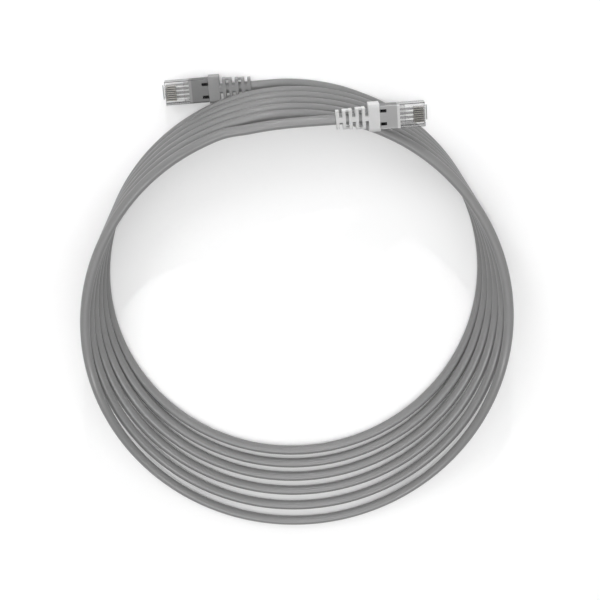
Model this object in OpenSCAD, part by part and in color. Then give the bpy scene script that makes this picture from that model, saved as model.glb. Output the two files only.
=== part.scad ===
// Ethernet patch cable: six loose turns of round cord with a shielded
// eight-way plug and a ribbed boot on each end. Millimetres, +Z up, floor at z = 0.
// The origin is on the floor, in the middle of the two plugs. Plug a lies on the
// floor, plug b on the pile, and both have their contacts up and latch down.

/* [Cord] */
// Outer diameter of the cord
cord_d = 5.0; // [4.1:0.1:5.4]
// Radius of the first turn, to the middle of the cord
coil_r = 98; // [80:1:120]

/* [Plug body] */
// Width of the plug body
plug_w = 11.7; // [11:0.1:14.1]
// Height of the plug body, without its latch
plug_h = 6.6; // [6.4:0.1:8]
// Length of the clear front, ahead of the metal shield
front_len = 12.1; // [11.8:0.1:14.6]
// Length of the plug body that the shield covers
shield_len = 9.6; // [9:0.1:12]
// Thickness of the metal shield
shield_t = 0.3; // [0.2:0.05:0.4]

/* [Contacts and wires] */
// Distance from one contact to the next
contact_pitch = 1.02; // [1:0.01:1.23]
// Thickness of a contact blade
contact_t = 0.35; // [0.25:0.05:0.4]
// Length of a contact blade
contact_len = 5.0; // [4:0.1:6]
// Diameter of an insulated wire
wire_d = 0.86; // [0.7:0.02:0.9]

/* [Latch] */
// Width of the latch lever where it locks
latch_w = 6.2; // [5.5:0.1:7]
// Width of the latch's finger tab
tab_w = 3.25; // [2.5:0.05:4]
// Length of the latch lever from its root
latch_len = 16; // [13:0.1:18]
// Thickness of the latch lever
latch_t = 0.8; // [0.6:0.05:0.9]
// How far the free latch stands away from the body, in degrees
latch_slope = 7.5; // [6:0.5:8]

/* [Boot] */
// Width of the boot's collar
collar_w = 13.4; // [13:0.1:16]
// Length of the boot's collar
collar_len = 5.4; // [5:0.1:9]
// How far the collar stands above the plug body
collar_rise = 0.9; // [0.7:0.1:2]
// Length of one rib along the cord
rib_len = 1.55; // [1.2:0.05:2]
// Length of one slot between ribs
slot_len = 1.6; // [1.2:0.05:2]
// Width of the rib next to the collar
rib_w_front = 10.4; // [9.6:0.1:12]
// Width of the last rib
rib_w_end = 9.0; // [8:0.1:10]
// Height of the rib next to the collar
rib_h_front = 7.6; // [7:0.1:8]
// Height of the last rib
rib_h_end = 6.4; // [6.2:0.1:7]

/* [Hidden] */
ENDS = ["a", "b"];
WAYS = 8;
PIECES = ["housing", "latch", "shield", "load_bar", "foil", "cable_end", "boot"];
$fn = 32;

cord_r = cord_d / 2;
slip = 0.05;        // running gap on each side of a piece that slides or turns
seat_gap = 0.1;     // gap on the diameter between a seated round piece and its bore
join = 0.2;         // how far two shapes of one piece run into each other
past = 1;           // how far a cut runs past the faces that it opens

// ---- plug, along x from the nose face at 0 towards the cord, axis at z = 0 ----
corner_r = 0.35;
body_len = front_len + shield_len;
rear_w = plug_w - 2 * (shield_t + slip);
rear_h = plug_h - 2 * (shield_t + slip);
rear_end = body_len - join - seat_gap;
wire_z = -0.9;                      // height of the row of wires
wire_hole_d = wire_d + 0.06;
wire_nose_x = 0.7;                  // where the wires end, behind the nose
blade_x = 0.5;                      // front of the contact blades
blade_top = plug_h / 2 - 0.55;      // blades lie a little below the body's top
blade_foot = wire_z + wire_d / 2 + 0.1;
blade_chamfer = 0.8;                // across the corner cut off the front of a blade
prong_tip = wire_z - 0.3;
prong_w = 0.45;
prong_xs = [blade_x + 1.4, blade_x + 3.1];
pocket_x = front_len - 2.7;         // front wall of the room for the load bar
pocket_low = -2.2;
pocket_high = 1.8;
bar_len = 3.0;
bar_wall = 0.45;                    // wall beside the outer wires in the load bar
bar_x = pocket_x + slip;
bar_w = (WAYS - 1) * contact_pitch + wire_d + 2 * bar_wall;
bar_low = pocket_low + slip;
bar_high = wire_z + wire_d / 2 + 0.75;
cord_end_x = front_len + 5.5;       // where the cord's jacket begins
fan_x = bar_x + bar_len + 0.2;      // where the wires leave their flat row
core_pitch = 0.5;                   // sideways step of the wires at the jacket
core_z = 0.6;                       // cores leave the jacket in two rows, this far up and down
core_run = 0.6;                     // straight run of a core at the jacket

// ---- latch root, ahead of and below the nose ----
knuckle_r = 0.5;
lip_w = 7.2;
lip_out = 1.5;
lip_low = -plug_h / 2;
lip_t = 0.8;
lip_root = 1;                       // how far the lip runs back into the body
hinge_x = -0.9;
hinge_z = lip_low - slip - knuckle_r;
latch_arm = 9.2;                    // length of the wide part of the lever
latch_room = 0.4;                   // gap beside the latch in the shield
tab_end = latch_len - latch_t / 2;  // middle of the tab's rounded end
tab_low = hinge_z - tab_end * sin(latch_slope) - latch_t / 2;

// ---- shield ----
shell_w = plug_w + 0.1;
shell_h = plug_h + 0.2;
shell_lip = 1.4;                    // sloped front edge of the shield, and its drop
shell_drop = 0.2;
shell_corner = 0.2;                 // extra corner radius of the shield over the body's
notch_in = 2.4;                     // inner and outer edge of the two rear notches
notch_out = 3.9;
notch_len = 3.1;
window_end = front_len + 4.6;       // rear end of the gap over the latch
barrel_x = body_len - 0.2;
barrel_len = 5.2;
foil_t = 0.25;
barrel_in_r = cord_r + foil_t + seat_gap / 2;
barrel_wall = shield_t + 0.1;        // folded over where it is crimped
barrel_r = barrel_in_r + barrel_wall;

// ---- boot ----
RIBS = 5;
boot_x = body_len + 0.2;
slot_x0 = boot_x + collar_len;
plug_len = slot_x0 + RIBS * (slot_len + rib_len);
boot_bore_r = cord_r + seat_gap / 2;
collar_bore_r = barrel_r + seat_gap / 2;
spine_w = 2.3;
web_t = 0.9;
cheek_w = 1.1;
cheek_len = 5.0;
cheek_gap = 0.6;                    // between the latch's finger tab and each cheek
cheek_y = tab_w / 2 + cheek_gap + cheek_w / 2;
cheek_up = 0.4;                     // the cheeks end this far above the collar's underside
collar_r = 1.6;
rib_r = 1.2;
web_in = 1.3;                       // webs stop this far inside the ribs' top and bottom
tab_gap = 0.3;                      // the collar reaches this far below the free latch
collar_up = plug_h / 2 + collar_rise;
collar_down = tab_gap - tab_low;

// ---- where each plug's cord end lies, and the way that its cord leaves ----
exit_a = [-20.5, 6.4, collar_down];
turn_a = 3.5;
exit_b = [20.5, -6.2, 36.8];
turn_b = 183;

// ---- coil: every turn is a larger copy of the first, grown from a point beyond the
// ring's plug side, so the turns bunch there and fan out on the floor opposite ----
TURNS = 6;
coil_crown = [-0.25, 5.55];         // middle of the first turn where it is nearest the plugs
coil_mid = coil_crown - [0, coil_r];
bunch_point = [-10.7, 111];
turn_growth = 0.02414;
start_angle = -12.6;
stack_step = cord_d + 0.17;         // height from one strand to the next in the pile
stack_dip = 0.5;                    // less than that where the pile leans most
pile_reach = 0.9;                   // how far round the ring the pile reaches, 0 to 2
lean_h = 696;                       // height at which a strand would reach bunch_point
// Between these angles each strand climbs on to the next layer of the pile
climb_from = -62;
climb_to = -8;
// The pile passes over plug a's boot in one low hump, from its second layer up
boot_gap = 1.1;
hump_h = collar_down + collar_up + boot_gap - stack_step;
hump_angle = -14;
hump_half = 34;
coil_from = 0.088;                  // turns counted where tail a ends and tail b starts
coil_to = 6.0;
STATIONS = 48;
HALF_STEPS = 6;
seam = 0.03;                        // turns over which a loose end joins its neighbour

// Points of the two tails, chosen by hand between each boot and the coil
tail_a = [
    exit_a, [-17, 6.61, collar_down], [-12.5, 6.84, 6.3], [-8, 6.98, 5.4], [-3.2, 6.9, 4.2], [1.8, 6.6, 3.3],
    [7.3, 6.0, 2.7], [13.8, 5.0, 2.5], [20.8, 3.5, 2.5], [26.8, 1.8, 2.5]
];
tail_b = [
    [-22.9, -10.1, 37.35], [-16.2, -9.0, 37.3], [-9.2, -8.1, 37.2], [-1.5, -7.4, 37.05],
    [6, -6.95, 36.9], [13.5, -6.57, 36.8], exit_b
];
TAIL_SIDES = 10;
WIRE_SIDES = 12;

function smooth(u) = let (v = min(max(u, 0), 1)) v * v * (3 - 2 * v);
function wrapped(angle) = angle - 360 * round(angle / 360);
function hump(angle) =
    let (off = abs(wrapped(angle - hump_angle)) / hump_half)
    hump_h * (1 + cos(180 * min(off, 1))) / 2;
// Layer of the pile that the cord is in: a whole number, but for the climb once a turn
function layer(turn) =
    let (u = turn - (climb_to - start_angle) / 360, share = (climb_to - climb_from) / 360)
    floor(u) + smooth((u - floor(u) - 1 + share) / share);
function lift(turn) =
    let (angle = 360 * turn + start_angle, c = cos(angle),
         step = stack_step - stack_dip * pow(max(c, 0), 4))
    step * smooth((c + 1) / pile_reach) * layer(turn) + hump(angle);
function coil_point(turn) =
    let (angle = 360 * turn + start_angle, up = lift(turn),
         grown = (1 - up / lean_h) / (1 - turn_growth * turn))
    [bunch_point.x + (coil_mid.x + coil_r * sin(angle) - bunch_point.x) * grown,
     bunch_point.y + (coil_mid.y + coil_r * cos(angle) - bunch_point.y) * grown,
     cord_r + up];

// ---- shapes ----
module round_outline(width, height, r) {
    square([width - 2 * r, height], center = true);
    square([width, height - 2 * r], center = true);
    for (y = [-1, 1], z = [-1, 1]) translate([y * (width / 2 - r), z * (height / 2 - r)]) circle(r);
}

// Bar along +x with rounded long edges
module round_bar(length, width, height, r) {
    rotate([90, 0, 90]) linear_extrude(length) round_outline(width, height, r);
}

// Box from one corner to the opposite one
module span(low, high) {
    translate(low) cube(high - low);
}

module rod_x(x0, x1, r) {
    translate([x0, 0, 0]) rotate([0, 90, 0]) cylinder(r = r, h = x1 - x0);
}

module rod_y(width, r) {
    rotate([90, 0, 0]) cylinder(r = r, h = width, center = true);
}

// Tube swept along a list of points, one ring of sides at each point
module swept_tube(points, r, sides) {
    n = len(points);
    rings = [for (i = [0:n - 1])
        let (ahead = points[min(i + 1, n - 1)] - points[max(i - 1, 0)],
             along = ahead / norm(ahead),
             flat = cross([0, 0, 1], along),
             side = flat / norm(flat),
             up = cross(along, side))
        [for (k = [0:sides - 1]) let (a = 360 * k / sides - 90)
            points[i] + r * (cos(a) * side + sin(a) * up)]];
    polyhedron(
        points = [for (ring = rings) each ring],
        faces = concat(
            [[for (k = [0:sides - 1]) k]],
            [for (i = [0:n - 2], k = [0:sides - 1])
                let (l = (k + 1) % sides)
                each [[i * sides + k, (i + 1) * sides + k, i * sides + l],
                      [i * sides + l, (i + 1) * sides + k, (i + 1) * sides + l]]],
            [[for (k = [sides - 1:-1:0]) (n - 1) * sides + k]]
        )
    );
}

function wire_y(i) = (i - (WAYS + 1) / 2) * contact_pitch;
function core_y(i) = (i - (WAYS + 1) / 2) * core_pitch;

// ---- pieces of one plug ----
module housing() {
    color([0.86, 0.9, 0.92, 0.5]) difference() {
        union() {
            round_bar(front_len, plug_w, plug_h, corner_r);
            round_bar(rear_end, rear_w, rear_h, corner_r);
            span([-lip_out + lip_t / 2, -lip_w / 2, lip_low], [lip_root, lip_w / 2, lip_low + lip_t]);
            translate([-lip_out + lip_t / 2, 0, lip_low + lip_t / 2]) rod_y(lip_w, lip_t / 2);
        }
        for (i = [1:WAYS]) translate([0, wire_y(i), 0]) {
            slot_half = contact_t / 2 + slip;
            span([-past, -slot_half, wire_z], [blade_x + contact_len + slip, slot_half, plug_h]);
            translate([0, 0, wire_z]) rod_x(wire_nose_x - slip, pocket_x + past, wire_hole_d / 2);
        }
        span([pocket_x, -bar_w / 2 - slip, pocket_low], [cord_end_x, bar_w / 2 + slip, pocket_high]);
        rod_x(cord_end_x - join, body_len, cord_r + seat_gap / 2);
    }
}

module contact(i) {
    color([0.83, 0.68, 0.3]) translate([0, wire_y(i), 0]) {
        difference() {
            span([blade_x, -contact_t / 2, blade_foot], [blade_x + contact_len, contact_t / 2, blade_top]);
            translate([blade_x, 0, blade_top]) rotate([0, 45, 0])
                cube([blade_chamfer, past, blade_chamfer], center = true);
        }
        for (x = prong_xs)
            span([x, -contact_t / 2, prong_tip], [x + prong_w, contact_t / 2, blade_foot + join]);
    }
}

module wire(i) {
    core = [cord_end_x - slip, core_y(i), i % 2 == 0 ? -core_z : core_z];
    path = [[wire_nose_x, wire_y(i), wire_z], [fan_x, wire_y(i), wire_z], core - [core_run, 0, 0], core];
    slot_half = contact_t / 2 + slip;
    color([0.78, 0.78, 0.76]) difference() {
        swept_tube(path, wire_d / 2, WIRE_SIDES);
        for (x = prong_xs) translate([0, wire_y(i), 0])
            span([x - slip, -slot_half, prong_tip - slip], [x + prong_w + slip, slot_half, 0]);
    }
}

module load_bar() {
    color([0.8, 0.84, 0.86, 0.6]) difference() {
        span([bar_x, -bar_w / 2, bar_low], [bar_x + bar_len, bar_w / 2, bar_high]);
        for (i = [1:WAYS]) translate([0, wire_y(i), wire_z])
            rod_x(bar_x - past, bar_x + bar_len + past, wire_hole_d / 2);
    }
}

module latch() {
    color([0.86, 0.9, 0.92, 0.5]) translate([hinge_x, 0, hinge_z]) rotate([0, latch_slope, 0]) {
        rod_y(latch_w, knuckle_r);
        span([0, -latch_w / 2, -latch_t / 2], [latch_arm, latch_w / 2, latch_t / 2]);
        span([latch_arm - join, -tab_w / 2, -latch_t / 2], [tab_end, tab_w / 2, latch_t / 2]);
        translate([tab_end, 0, 0]) rod_y(tab_w, latch_t / 2);
    }
}

module shield() {
    neck_low = barrel_r - shield_t;
    neck_high = shell_h / 2 - shield_t / 2;
    neck_end = barrel_x + past;
    rear = body_len + past;
    notch_w = notch_out - notch_in;
    window_w = latch_w + 2 * latch_room;
    color([0.66, 0.66, 0.67]) {
        difference() {
            translate([front_len, 0, 0]) rotate([90, 0, 90]) linear_extrude(shield_len) difference() {
                round_outline(shell_w, shell_h, corner_r + shell_corner);
                square([rear_w + 2 * slip, rear_h + 2 * slip], center = true);
            }
            // sloped front edge
            translate([front_len, 0, shell_h / 2]) rotate([0, -atan2(shell_drop, shell_lip), 0])
                span([-shell_lip, -plug_w, 0], [shell_lip, plug_w, past]);
            // two rear notches in the top
            for (s = [-1, 1]) translate([0, s * (notch_in + notch_out) / 2, 0])
                span([body_len - notch_len, -notch_w / 2, 0], [rear, notch_w / 2, plug_h]);
            // gap in the bottom over the latch
            span([front_len - past, -window_w / 2, -plug_h], [window_end, window_w / 2, 0]);
        }
        // crimp barrel round the cord, and the neck that carries it
        difference() {
            rod_x(barrel_x, barrel_x + barrel_len, barrel_r);
            rod_x(barrel_x - past, barrel_x + barrel_len + past, barrel_in_r);
        }
        span([barrel_x - join, -notch_in, shell_h / 2 - shield_t], [neck_end, notch_in, shell_h / 2]);
        span([barrel_x + slip, -notch_in / 2, neck_low], [neck_end, notch_in / 2, neck_high]);
    }
}

module foil() {
    color([0.8, 0.8, 0.82]) difference() {
        rod_x(rear_end + slip, barrel_x + barrel_len - slip, cord_r + foil_t);
        rod_x(rear_end - past, barrel_x + barrel_len + past, cord_r + seat_gap / 4);
    }
}

module cable_end() {
    color([0.55, 0.55, 0.55]) rod_x(cord_end_x, plug_len, cord_r);
}

// Ribs are counted from the collar; slots between them are open in turn at the
// sides, with a spine above and below, and above and below, with a web on each side
module boot() {
    function rib_w(i) = rib_w_front + (rib_w_end - rib_w_front) * i / (RIBS - 1);
    function rib_h(i) = rib_h_front + (rib_h_end - rib_h_front) * i / (RIBS - 1);
    step = slot_len + rib_len;
    neck_gap_end = barrel_x + past + join + slip;
    cheek_low = cheek_up - collar_down;
    color([0.75, 0.75, 0.75]) difference() {
        union() {
            translate([boot_x, 0, (collar_up - collar_down) / 2])
                round_bar(collar_len, collar_w, collar_up + collar_down, collar_r);
            for (i = [0:RIBS - 1]) {
                x0 = slot_x0 + i * step - join;
                x1 = x0 + slot_len + 2 * join;
                up = rib_h(i) / 2;
                translate([x1 - join, 0, 0]) round_bar(rib_len, rib_w(i), rib_h(i), rib_r);
                if (i % 2 == 0)
                    span([x0, -spine_w / 2, -up], [x1, spine_w / 2, up]);
                else
                    for (s = [-1, 1]) translate([0, s * (rib_w(i) - web_t) / 2, 0])
                        span([x0, -web_t / 2, web_in - up], [x1, web_t / 2, up - web_in]);
            }
            // cheeks on both sides of the latch's finger tab
            for (s = [-1, 1]) translate([boot_x - cheek_len, s * cheek_y - cheek_w / 2, cheek_low])
                cube([cheek_len + join, cheek_w, -shell_h / 2 - slip - cheek_low]);
        }
        rod_x(boot_x - past, plug_len + past, boot_bore_r);
        rod_x(boot_x - past, barrel_x + barrel_len + slip, collar_bore_r);
        span([boot_x - past, -notch_in - slip, 0], [neck_gap_end, notch_in + slip, shell_h / 2 + slip]);
    }
}

module at_end(end) {
    if (end == "a") translate(exit_a) rotate([0, 0, turn_a]) translate([-plug_len, 0, 0]) children();
    if (end == "b") translate(exit_b) rotate([0, 0, turn_b]) translate([-plug_len, 0, 0]) children();
}

// ---- the cord ----
// Outer shape of the turns: at each station a slanted round-ended band from the
// lowest strand to the highest
module cable_coil() {
    sections = [for (s = [0:STATIONS - 1])
        let (turn = coil_from + s / STATIONS,
             angle = 360 * turn + start_angle,
             out = [sin(angle), cos(angle), 0],
             joined = smooth((turn - coil_from) / seam),
             left = smooth((turn + TURNS - 1 - coil_to) / seam + 1),
             low = joined * coil_point(turn) + (1 - joined) * coil_point(turn + 1),
             high = (1 - left) * coil_point(turn + TURNS - 1) + left * coil_point(turn + TURNS - 2),
             slant = atan2(high.z - low.z, (high - low) * out))
        [for (k = [0:2 * HALF_STEPS + 1])
            let (at_high = k > HALF_STEPS,
                 a = slant + 90 + 180 * (at_high ? k - 1 : k) / HALF_STEPS)
            (at_high ? high : low) + cord_r * (cos(a) * out + [0, 0, sin(a)])]];
    m = 2 * HALF_STEPS + 2;
    color([0.55, 0.55, 0.55]) polyhedron(
        points = [for (section = sections) each section],
        faces = [for (s = [0:STATIONS - 1], k = [0:m - 1])
            let (t = (s + 1) % STATIONS, l = (k + 1) % m)
            each [[s * m + k, s * m + l, t * m + k], [s * m + l, t * m + l, t * m + k]]]
    );
}

module cable_tail_a() {
    color([0.55, 0.55, 0.55])
        swept_tube(concat(tail_a, [coil_point(coil_from + seam / 2)]), cord_r, TAIL_SIDES);
}

module cable_tail_b() {
    color([0.55, 0.55, 0.55])
        swept_tube(concat([coil_point(coil_to - seam / 2)], tail_b), cord_r, TAIL_SIDES);
}

cable_coil();
cable_tail_a();
cable_tail_b();
for (end = ENDS) {
    at_end(end) housing();
    at_end(end) latch();
    at_end(end) shield();
    at_end(end) load_bar();
    at_end(end) foil();
    at_end(end) cable_end();
    at_end(end) boot();
    for (i = [1:WAYS]) {
        at_end(end) contact(i);
        at_end(end) wire(i);
    }
}
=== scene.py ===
"""Looks of a coiled ethernet patch cable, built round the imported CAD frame."""

import math

import bpy
import numpy as np
from mathutils import Matrix, Vector


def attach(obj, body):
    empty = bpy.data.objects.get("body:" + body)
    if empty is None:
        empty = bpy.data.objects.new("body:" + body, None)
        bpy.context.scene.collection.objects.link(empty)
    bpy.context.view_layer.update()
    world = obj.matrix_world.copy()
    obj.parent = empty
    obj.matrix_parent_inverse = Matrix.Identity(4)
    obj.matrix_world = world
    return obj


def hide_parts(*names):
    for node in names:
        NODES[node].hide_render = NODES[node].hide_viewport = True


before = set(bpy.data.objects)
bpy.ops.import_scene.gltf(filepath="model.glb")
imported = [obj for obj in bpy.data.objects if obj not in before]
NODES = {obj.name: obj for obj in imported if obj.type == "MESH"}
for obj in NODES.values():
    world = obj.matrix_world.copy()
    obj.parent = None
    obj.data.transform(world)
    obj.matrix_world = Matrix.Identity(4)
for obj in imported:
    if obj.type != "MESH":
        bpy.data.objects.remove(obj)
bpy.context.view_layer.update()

# ---------------------------------------------------------------- camera
CAMERA_AT = Vector((-0.0107, 0.1110, 0.6982))
CAMERA_AIM = Vector((0.0022, -0.1089, 0.0))
CAMERA_ROLL = math.radians(1.06)
LENS_MM = 82.57
SENSOR_MM = 36.0


def make_camera():
    """Camera above the plug side of the ring, with the plugs at the top of the view."""
    data = bpy.data.cameras.new("camera")
    data.lens = LENS_MM
    data.sensor_width = SENSOR_MM
    data.clip_start, data.clip_end = 0.01, 50.0
    camera = bpy.data.objects.new("camera", data)
    bpy.context.scene.collection.objects.link(camera)
    back = (CAMERA_AT - CAMERA_AIM).normalized()
    right = Vector((0, 1, 0)).cross(back).normalized()
    up = back.cross(right)
    turned = Matrix((right, up, back)).transposed() @ Matrix.Rotation(-CAMERA_ROLL, 3, "Z")
    camera.matrix_world = Matrix.Translation(CAMERA_AT) @ turned.to_4x4()
    bpy.context.scene.camera = camera


make_camera()

# ---------------------------------------------------------------- cord route, in metres
CORD_D = 0.005
CORD_R = CORD_D / 2
EXIT_A = (-0.0205, 0.0064, 0.006586)
EXIT_B = (0.0205, -0.0062, 0.0368)
TAIL_A = [
    EXIT_A, (-0.017, 0.00661, 0.006586), (-0.0125, 0.00684, 0.0063), (-0.008, 0.00698, 0.0054),
    (-0.0032, 0.0069, 0.0042), (0.0018, 0.0066, 0.0033), (0.0073, 0.0060, 0.0027),
    (0.0138, 0.0050, 0.0025), (0.0208, 0.0035, 0.0025), (0.0268, 0.0018, 0.0025),
]
TAIL_B = [
    (-0.0229, -0.0101, 0.03735), (-0.0162, -0.0090, 0.0373), (-0.0092, -0.0081, 0.0372),
    (-0.0015, -0.0074, 0.03705), (0.006, -0.00695, 0.0369), (0.0135, -0.00657, 0.0368), EXIT_B,
]
COIL_R = 0.098
COIL_CROWN = (-0.00025, 0.00555)
COIL_MID = (COIL_CROWN[0], COIL_CROWN[1] - COIL_R)
BUNCH_POINT = (-0.0107, 0.111)
TURN_GROWTH = 0.02414
START_ANGLE = -12.6
STACK_STEP = CORD_D + 0.00017
STACK_DIP = 0.0005
PILE_REACH = 0.9
LEAN_H = 0.696
CLIMB_FROM, CLIMB_TO = -62.0, -8.0
HUMP_H, HUMP_ANGLE, HUMP_HALF = 0.006716, -14.0, 34.0
COIL_FROM, COIL_TO = 0.088, 6.0
POINTS_PER_TURN = 60
CORD_SIDES = 24
RING_STEP = 0.0016
PLUG_TURN = {"a": 3.5, "b": 183.0}
PLUG_LEN, FRONT_LEN, SHIELD_LIP = 0.04305, 0.0121, 0.0014
TUCK_IN = 0.0008  # how far the cord's drawn ends reach into the boots


def smooth(u):
    """Share that eases from 0 to 1 as u goes from 0 to 1."""
    v = min(max(u, 0.0), 1.0)
    return v * v * (3 - 2 * v)


def layer(turn):
    """Layer of the pile: a whole number, but for the climb once a turn."""
    u = turn - (CLIMB_TO - START_ANGLE) / 360
    share = (CLIMB_TO - CLIMB_FROM) / 360
    return math.floor(u) + smooth((u - math.floor(u) - 1 + share) / share)


def lift(turn):
    """Height of the coil above the floor: its layer of the pile, and the hump over boot a."""
    angle = 360 * turn + START_ANGLE
    c = math.cos(math.radians(angle))
    off = angle - HUMP_ANGLE
    off -= 360 * round(off / 360)
    hump = HUMP_H * (1 + math.cos(math.pi * min(abs(off) / HUMP_HALF, 1))) / 2
    step = (STACK_STEP - STACK_DIP * max(c, 0) ** 4) * smooth((c + 1) / PILE_REACH)
    return step * layer(turn) + hump


def coil_point(turn):
    """Middle of the cord on the coil, counted in turns: each turn is a larger copy of the first."""
    a = math.radians(360 * turn + START_ANGLE)
    up = lift(turn)
    grown = (1 - up / LEAN_H) / (1 - TURN_GROWTH * turn)
    x, y = COIL_MID[0] + COIL_R * math.sin(a), COIL_MID[1] + COIL_R * math.cos(a)
    return (
        BUNCH_POINT[0] + (x - BUNCH_POINT[0]) * grown,
        BUNCH_POINT[1] + (y - BUNCH_POINT[1]) * grown,
        CORD_R + up,
    )


def smooth_line(points, step):
    """Points about step apart on a smooth curve through all the given points."""
    p = np.array(points, float)
    p = np.vstack([2 * p[0] - p[1], p, 2 * p[-1] - p[-2]])
    line = []
    for a, b, c, d in zip(p[:-3], p[1:-2], p[2:-1], p[3:]):
        knots = np.cumsum([0] + [np.linalg.norm(v) ** 0.5 for v in (b - a, c - b, d - c)])
        t0, t1, t2, t3 = knots
        count = max(1, round(np.linalg.norm(c - b) / step))
        for t in t1 + (t2 - t1) * np.arange(count) / count:
            a1 = (t1 - t) / (t1 - t0) * a + (t - t0) / (t1 - t0) * b
            a2 = (t2 - t) / (t2 - t1) * b + (t - t1) / (t2 - t1) * c
            a3 = (t3 - t) / (t3 - t2) * c + (t - t2) / (t3 - t2) * d
            b1 = (t2 - t) / (t2 - t0) * a1 + (t - t0) / (t2 - t0) * a2
            b2 = (t3 - t) / (t3 - t1) * a2 + (t - t1) / (t3 - t1) * a3
            line.append((t2 - t) / (t2 - t1) * b1 + (t - t1) / (t2 - t1) * b2)
    line.append(p[-2])
    return np.array(line)


def route():
    """Middle line of the whole cord, from inside boot a to inside boot b."""
    count = round((COIL_TO - COIL_FROM) * POINTS_PER_TURN)
    turns = COIL_FROM + (COIL_TO - COIL_FROM) * np.arange(1, count) / count
    points = [*TAIL_A, *[coil_point(t) for t in turns], *TAIL_B]
    start = np.array(points[0]) - TUCK_IN * unit(np.array(points[1]) - np.array(points[0]))
    end = np.array(points[-1]) + TUCK_IN * unit(np.array(points[-1]) - np.array(points[-2]))
    points[0], points[-1] = tuple(start), tuple(end)
    return smooth_line(points, RING_STEP)


def unit(v):
    return v / np.linalg.norm(v)


def tube_mesh(name, line, radius, sides):
    """Closed tube along a line, with a UV map of (share round it, metres along it)."""
    n = len(line)
    along = np.gradient(line, axis=0)
    along /= np.linalg.norm(along, axis=1)[:, None]
    side = np.zeros_like(line)
    side[0] = unit(np.cross((0, 0, 1), along[0]))
    for i in range(1, n):  # carried along the line without twisting
        side[i] = unit(side[i - 1] - along[i] * (side[i - 1] @ along[i]))
    up = np.cross(along, side)
    a = 2 * math.pi * np.arange(sides) / sides
    ring = np.cos(a)[None, :, None] * side[:, None] + np.sin(a)[None, :, None] * up[:, None]
    points = (line[:, None] + radius * ring).reshape(-1, 3)
    travelled = np.concatenate([[0], np.cumsum(np.linalg.norm(np.diff(line, axis=0), axis=1))])
    faces, uvs = [], []
    for i in range(n - 1):
        for k in range(sides):
            m = (k + 1) % sides
            faces.append((i * sides + k, i * sides + m, (i + 1) * sides + m, (i + 1) * sides + k))
            u0, u1 = k / sides, (k + 1) / sides
            v0, v1 = travelled[i], travelled[i + 1]
            uvs += [(u0, v0), (u1, v0), (u1, v1), (u0, v1)]
    faces += [tuple(range(sides - 1, -1, -1)), tuple((n - 1) * sides + k for k in range(sides))]
    uvs += [(0.0, 0.0)] * (2 * sides)
    mesh = bpy.data.meshes.new(name)
    mesh.from_pydata([tuple(p) for p in points], [], faces)
    layer_uv = mesh.uv_layers.new(name="along")
    layer_uv.data.foreach_set("uv", np.array(uvs, np.float32).ravel())
    mesh.polygons.foreach_set("use_smooth", [True] * (len(faces) - 2) + [False, False])
    mesh.update()
    return mesh, travelled[-1]


def link(name, mesh, material):
    """New piece on the root body."""
    piece = bpy.data.objects.new(name, mesh)
    bpy.context.scene.collection.objects.link(piece)
    mesh.materials.append(material)
    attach(piece, "root")
    return piece


# ---------------------------------------------------------------- materials
# painted light: a boot's side walls are painted paler than its top by this factor
BOOT_SIDE_PAINTED_LIGHT = 1.3  # how much paler a boot's side walls are than its top
LAY_TURNS = 72.0  # turns of the twisted pairs per metre, faintly seen through the jacket
JACKET_GRAIN = 0.00001
BOOT_GRAIN = 0.00003
CLEAR_WAVES = 0.00003
METAL_LINES = 0.00002
WIRE_GRAIN = 0.00002
# painted shade: dark lines painted along the clear bodies' edges
EDGE_LINE = 0.0004  # breadth of the dark lines along a clear body's edges
RIB_SHADE = 0.65  # how dark the clear ribs between the contacts look
# painted shade and painted light levels; the dark one also paints shade inside the shields
DARK, PALE = 0.02, 0.8  # levels of unlit and of lit clear plastic


class Shader:
    """A node material under construction."""

    def __init__(self, name, **sockets):
        self.material = bpy.data.materials.new(name)
        self.material.use_nodes = True
        self.tree = self.material.node_tree
        self.bsdf = self.tree.nodes["Principled BSDF"]
        for key, value in sockets.items():
            self.bsdf.inputs[key.replace("_", " ")].default_value = value

    def add(self, kind, inputs=None, **settings):
        node = self.tree.nodes.new(kind)
        for key, value in settings.items():
            setattr(node, key, value)
        for key, value in (inputs or {}).items():
            if isinstance(value, bpy.types.NodeSocket):
                self.tree.links.new(value, node.inputs[key])
            else:
                node.inputs[key].default_value = value
        return node

    def noise(self, coords, scale, detail=3.0, roughness=0.55, distortion=0.0):
        return self.add(
            "ShaderNodeTexNoise",
            {"Vector": coords, "Scale": scale, "Detail": detail, "Roughness": roughness,
             "Distortion": distortion},
        ).outputs["Fac"]

    def ranged(self, value, low, high, from_low=0.0, from_high=1.0):
        return self.add(
            "ShaderNodeMapRange",
            {"Value": value, "From Min": from_low, "From Max": from_high, "To Min": low, "To Max": high},
        ).outputs["Result"]

    def maths(self, operation, a, b=0.0):
        return self.add("ShaderNodeMath", {0: a, 1: b}, operation=operation).outputs[0]

    def mix_colour(self, share, first, second):
        node = self.add("ShaderNodeMix", data_type="RGBA")
        for i, value in ((0, share), (6, first), (7, second)):
            if isinstance(value, bpy.types.NodeSocket):
                self.tree.links.new(value, node.inputs[i])
            else:
                node.inputs[i].default_value = value
        return node.outputs[2]

    def bump(self, height, distance):
        node = self.add("ShaderNodeBump", {"Height": height, "Distance": distance, "Strength": 1.0})
        self.tree.links.new(node.outputs["Normal"], self.bsdf.inputs["Normal"])

    def drive(self, socket, value):
        self.tree.links.new(value, self.bsdf.inputs[socket])

    def coords(self, kind="Object"):
        return self.add("ShaderNodeTexCoord").outputs[kind]

    def upright(self):
        """1 on upright walls and 0 on level faces."""
        normal = self.add("ShaderNodeNewGeometry").outputs["Normal"]
        up = self.add("ShaderNodeSeparateXYZ", {"Vector": normal}).outputs["Z"]
        return self.ranged(self.maths("ABSOLUTE", up), 1.0, 0.0, 0.2, 0.8)


def grey(level):
    return (level, level, level, 1.0)


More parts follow.
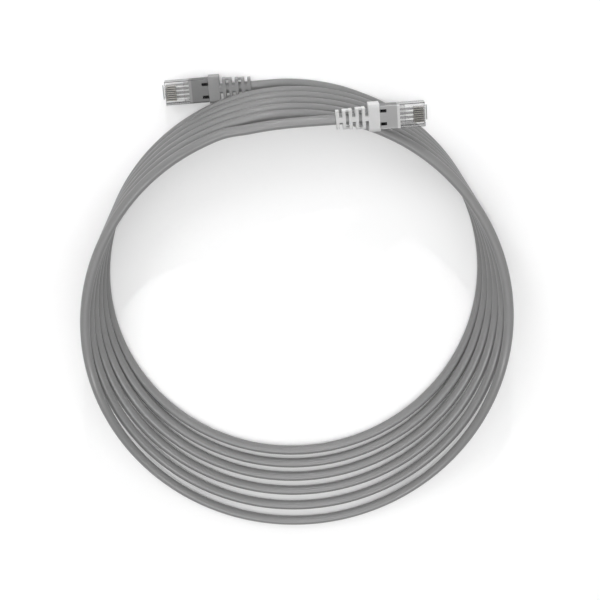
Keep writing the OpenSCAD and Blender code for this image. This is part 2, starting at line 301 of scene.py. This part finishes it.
def jacket_material():
    """Satin PVC jacket: faint pair lay showing through, fine grain and soft wear."""
    s = Shader("jacket_pvc")
    split = s.add("ShaderNodeSeparateXYZ", {"Vector": s.coords("UV")}).outputs
    objects = s.coords()
    patches = s.noise(objects, 38.0, 3.0)
    fine = s.noise(objects, 1400.0, 2.0)
    tone = s.mix_colour(patches, grey(0.176), grey(0.196))
    tone = s.mix_colour(s.ranged(fine, 0.0, 0.15, 0.52, 0.8), tone, grey(0.23))
    s.drive("Base Color", tone)
    s.drive("Roughness", s.ranged(s.noise(objects, 260.0, 4.0), 0.29, 0.36, 0.3, 0.7))
    turns = s.maths("ADD", s.maths("MULTIPLY", split["Y"], LAY_TURNS), split["X"])
    lay = s.maths("SINE", s.maths("MULTIPLY", turns, 2 * math.pi))
    height = s.maths("ADD", s.maths("MULTIPLY", lay, 0.04), s.maths("MULTIPLY", fine, 0.2))
    s.bump(height, JACKET_GRAIN)
    return s.material


def boot_material(name, low, high):
    """Moulded matt boot with a fine spark-eroded grain, its side walls painted paler as painted light."""
    s = Shader(name)
    objects = s.coords()
    tone = s.mix_colour(s.noise(objects, 120.0, 3.0), grey(low), grey(high))
    # painted light: upright walls painted paler than the top
    s.drive("Base Color", s.mix_colour(s.upright(), tone, grey(high * BOOT_SIDE_PAINTED_LIGHT)))
    s.drive("Roughness", s.ranged(s.noise(objects, 700.0, 3.0), 0.45, 0.62))
    s.bump(s.noise(objects, 3800.0, 2.0), BOOT_GRAIN)
    return s.material


def reach(names, axis):
    """Least and greatest distance of the named nodes' corners along an axis."""
    values = [axis.dot(corner.co) for name in names for corner in NODES[name].data.vertices]
    return min(values), max(values)


def between(shader, axis, low, high, soft=0.0001):
    """Share that is 1 from low to high along an axis and 0 beyond them."""
    along = shader.add("ShaderNodeVectorMath", {0: shader.coords(), 1: axis}, operation="DOT_PRODUCT")
    rise = shader.ranged(along.outputs["Value"], 0.0, 1.0, low - soft, low + soft)
    fall = shader.ranged(along.outputs["Value"], 1.0, 0.0, high - soft, high + soft)
    return shader.maths("MULTIPLY", rise, fall)


def body_axes(end):
    """Unit vectors of a plug: back along it, across it and up."""
    back = shield_front(end)[1]
    up = Vector((0, 0, 1))
    return back, back.cross(up), up


def body_lines(shader, end, breadth):
    """Share of the painted dark lines where a plug's clear body bends light away: its nose and long edges.
    """
    body = [f"plug_{end}_housing"]
    back, across, up = body_axes(end)
    nose = reach(body, back)[0]
    terms = []
    for axis in (across, up):
        low, high = reach(body, axis)
        terms.append(shader.maths("SUBTRACT", 1.0, between(shader, axis, low + breadth, high - breadth)))
    long_edges = shader.maths("MULTIPLY", *terms)
    front = between(shader, back, nose - 0.001, nose + 0.8 * breadth)
    return shader.maths("MAXIMUM", front, long_edges)


def shaded_inside(shader, end):
    """Share of a clear body that gets little light: the ribs between the contacts, and under the shield."""
    names = [f"plug_{end}_contact_{i}" for i in range(1, 9)]
    back, across, up = body_axes(end)
    row = [between(shader, axis, *reach(names, axis)) for axis in (back, across)]
    ribs = shader.maths("MULTIPLY", shader.maths("MULTIPLY", *row), RIB_SHADE)
    front = back.dot(shield_front(end)[0])
    return shader.maths("MAXIMUM", ribs, between(shader, back, front + 0.001, front + 1.0))


def clear_material(name, film, edge_film, end=None):
    """Clear polycarbonate: painted light as a faint pale film square on, and painted shade on walls seen
    edge on.
    """
    s = Shader(name, IOR=1.58)
    objects = s.coords()
    facing = s.add("ShaderNodeLayerWeight", {"Blend": 0.5}).outputs["Facing"]
    edge = s.maths("POWER", facing, 1.7)
    marks = s.ranged(s.noise(objects, 240.0, 3.0, 0.5, 0.6), -0.02, 0.05)
    if end:
        edge = s.maths("MAXIMUM", edge, body_lines(s, end, EDGE_LINE))
    # painted shade edge on and painted light square on
    tone = s.mix_colour(edge, grey(PALE), grey(0.03))
    if end:
        tone = s.mix_colour(shaded_inside(s, end), tone, grey(DARK))
    s.drive("Base Color", tone)
    s.drive("Alpha", s.maths("ADD", s.ranged(edge, film, edge_film), marks))
    s.drive("Roughness", s.ranged(s.noise(objects, 300.0, 3.0), 0.07, 0.14))
    s.bump(s.noise(objects, 220.0, 2.0, 0.5, 0.6), CLEAR_WAVES)
    return s.material


def metal_material(name, level, rough, side=1.0, tint=(1.0, 1.0, 1.0)):
    """Plated sheet with fine drawn lines; side scales its level on upright walls, painted shade where side
    is below 1.
    """
    s = Shader(name, Metallic=1.0)
    drawn = s.add("ShaderNodeMapping", {"Vector": s.coords(), "Scale": (1.0, 12.0, 12.0)})
    lines = s.noise(drawn.outputs["Vector"], 420.0, 3.0)
    low = tuple(level * 0.9 * t for t in tint) + (1.0,)
    high = tuple(level * 1.06 * t for t in tint) + (1.0,)
    # painted shade on upright walls when side is below 1
    wall = tuple(level * side * t for t in tint) + (1.0,)
    tone = s.mix_colour(s.upright(), s.mix_colour(lines, low, high), wall)
    s.drive("Base Color", tone)
    s.drive("Roughness", s.ranged(lines, rough * 0.8, rough * 1.25))
    s.bump(lines, METAL_LINES)
    return s


def lip_and_inside(shader, level, front, along, lip):
    """Paints light on a shield's front lip and paints shade on its inside.

    front is the middle of the shield's front edge, and along points back from it.
    """
    away = shader.add("ShaderNodeVectorMath", {0: shader.coords(), 1: front}, operation="SUBTRACT")
    depth = shader.add("ShaderNodeVectorMath", {0: away.outputs[0], 1: along}, operation="DOT_PRODUCT")
    share = shader.ranged(depth.outputs["Value"], 1.0, 0.0, lip * 0.92, lip)
    under = shader.bsdf.inputs["Base Color"].links[0].from_socket
    # painted light on the front lip
    lit = shader.mix_colour(share, under, grey(level))
    normal = shader.add("ShaderNodeNewGeometry").outputs["Normal"]
    outward = shader.add("ShaderNodeVectorMath", {0: away.outputs[0], 1: normal}, operation="DOT_PRODUCT")
    inside = shader.ranged(outward.outputs["Value"], 1.0, 0.0, -0.002, -0.0015)
    # painted shade on the shield's inside faces
    shader.drive("Base Color", shader.mix_colour(inside, lit, grey(DARK)))


def wire_material(name, level):
    """Polyethylene insulation, slightly translucent looking."""
    s = Shader(name, Roughness=0.35)
    s.drive("Base Color", s.mix_colour(s.noise(s.coords(), 300.0, 2.0), grey(level * 0.92), grey(level)))
    s.bump(s.noise(s.coords(), 2500.0, 2.0), WIRE_GRAIN)
    return s.material


def shield_front(end):
    """Point on the front edge of a plug's shield, the way back along it, and its lip's length."""
    turn = math.radians(PLUG_TURN[end])
    along = Vector((math.cos(turn), math.sin(turn), 0))
    front = Vector(EXIT_A if end == "a" else EXIT_B) - along * (PLUG_LEN - FRONT_LEN)
    return front, along, SHIELD_LIP


def floor_material():
    """White matt paper."""
    s = Shader("floor_paper", Base_Color=grey(0.95), Roughness=0.9)
    s.bsdf.inputs["Specular IOR Level"].default_value = 0.15
    return s.material


JACKET = jacket_material()
# painted shade and painted light: one boot material, in a darker copy for the far boot and a paler copy for
# the near boot
BOOT = {"a": boot_material("boot_far_shaded_copy", 0.17, 0.21), "b": boot_material("boot_near_lit_copy", 0.42, 0.48)}
CLEAR = {end: clear_material("clear_polycarbonate_" + end, 0.07, 0.92, end) for end in "ab"}
CLEAR_LATCH = clear_material("clear_latch", 0.12, 0.92)
CLEAR_BAR = clear_material("clear_load_bar", 0.06, 0.5)
# painted shade and painted light: one plated metal, in a darker copy for the far shield and a paler copy
# for the near one, each with upright walls painted darker still
SHIELDS = {
    "a": metal_material("shield_far_shaded_copy", 0.104, 0.34, side=0.45),
    "b": metal_material("shield_near_lit_copy", 0.235, 0.3, side=0.25),
}
# painted light on the shields' front lips and painted shade inside them
for end, lip_level in (("a", 0.15), ("b", 0.37)):
    lip_and_inside(SHIELDS[end], lip_level, *shield_front(end))
SHIELD = {end: shader.material for end, shader in SHIELDS.items()}
GOLD = metal_material("contact_gold", 0.31, 0.28, tint=(1.0, 0.96, 0.88)).material
FOIL = metal_material("foil", 0.8, 0.3).material
WIRES = {1: wire_material("wire_light", 0.9), 0: wire_material("wire_dark", 0.2)}

# ---------------------------------------------------------------- cord
cord_line = route()
cord_mesh, cord_length = tube_mesh("cord", cord_line, CORD_R, CORD_SIDES)
cord = link("cord", cord_mesh, JACKET)
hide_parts("cable_coil", "cable_tail_a", "cable_tail_b")

# ---------------------------------------------------------------- CAD nodes' finishes
BOOT_BEVEL = 0.00025
BEVEL_FROM = math.radians(40)
WELD_WITHIN = 2e-6


def finish_node(name, material, bevel=0.0):
    """Gives a CAD node its material and softened edges."""
    node = NODES[name]
    node.data.materials.clear()
    node.data.materials.append(material)
    if bevel:
        weld = node.modifiers.new("weld", "WELD")
        weld.merge_threshold = WELD_WITHIN
        soft = node.modifiers.new("soft_edges", "BEVEL")
        soft.width = bevel
        soft.segments = 2
        soft.limit_method = "ANGLE"
        soft.angle_limit = BEVEL_FROM
        soft.harden_normals = True


for end in "ab":
    prefix = f"plug_{end}_"
    finish_node(prefix + "housing", CLEAR[end])
    finish_node(prefix + "latch", CLEAR_LATCH)
    finish_node(prefix + "load_bar", CLEAR_BAR)
    finish_node(prefix + "shield", SHIELD[end])
    finish_node(prefix + "foil", FOIL)
    finish_node(prefix + "cable_end", JACKET)
    finish_node(prefix + "boot", BOOT[end], bevel=BOOT_BEVEL)
    for i in range(1, 9):
        finish_node(f"{prefix}contact_{i}", GOLD)
        finish_node(f"{prefix}wire_{i}", WIRES[i % 2])

# ---------------------------------------------------------------- stage and light
FLOOR_SIZE = 8.0


def make_floor():
    """Level paper under the cable."""
    h = FLOOR_SIZE / 2
    mesh = bpy.data.meshes.new("floor")
    mesh.from_pydata([(-h, -h, 0), (h, -h, 0), (h, h, 0), (-h, h, 0)], [], [(0, 1, 2, 3)])
    mesh.materials.append(floor_material())
    floor = bpy.data.objects.new("floor", mesh)
    bpy.context.scene.collection.objects.link(floor)


def make_light(name, place, aim, size, power, spread=180.0, width=None, sheen_only=False):
    """Round lamp, or an oblong one if it has a width; sheen_only keeps it out of matt light."""
    data = bpy.data.lights.new(name, "AREA")
    data.shape = "RECTANGLE" if width else "DISK"
    data.size = width or size
    data.size_y = size
    data.energy = power
    data.spread = math.radians(spread)
    light = bpy.data.objects.new(name, data)
    bpy.context.scene.collection.objects.link(light)
    light.visible_diffuse = not sheen_only
    light.location = place
    light.rotation_euler = (Vector(aim) - Vector(place)).to_track_quat("-Z", "Y").to_euler()


def make_world(horizon, zenith):
    """White studio dome, brighter overhead than at the horizon."""
    world = bpy.data.worlds.new("studio")
    world.use_nodes = True
    tree = world.node_tree
    coords = tree.nodes.new("ShaderNodeTexCoord")
    split = tree.nodes.new("ShaderNodeSeparateXYZ")
    level = tree.nodes.new("ShaderNodeMapRange")
    level.inputs["To Min"].default_value = horizon
    level.inputs["To Max"].default_value = zenith
    tree.links.new(coords.outputs["Generated"], split.inputs["Vector"])
    tree.links.new(split.outputs["Z"], level.inputs["Value"])
    background = tree.nodes["Background"]
    background.inputs["Color"].default_value = grey(1.0)
    tree.links.new(level.outputs["Result"], background.inputs["Strength"])
    bpy.context.scene.world = world


make_floor()
make_world(horizon=0.5, zenith=1.0)
make_light("key", (-0.7, 0.9, 1.0), (0, -0.1, 0), 0.45, 3.2)
make_light("gloss", (-0.05, 0.1, 1.25), (0, -0.11, 0), 0.1, 3.0)
make_light("strip", (0.0, -0.75, 0.92), (0, -0.05, 0), 0.08, 4.5, width=0.6, sheen_only=True)
make_light("rim", (0.0, 0.95, 0.55), (0, 0.0, 0.02), 0.08, 0.085, spread=30.0)
bpy.context.scene.view_settings.view_transform = "Standard"
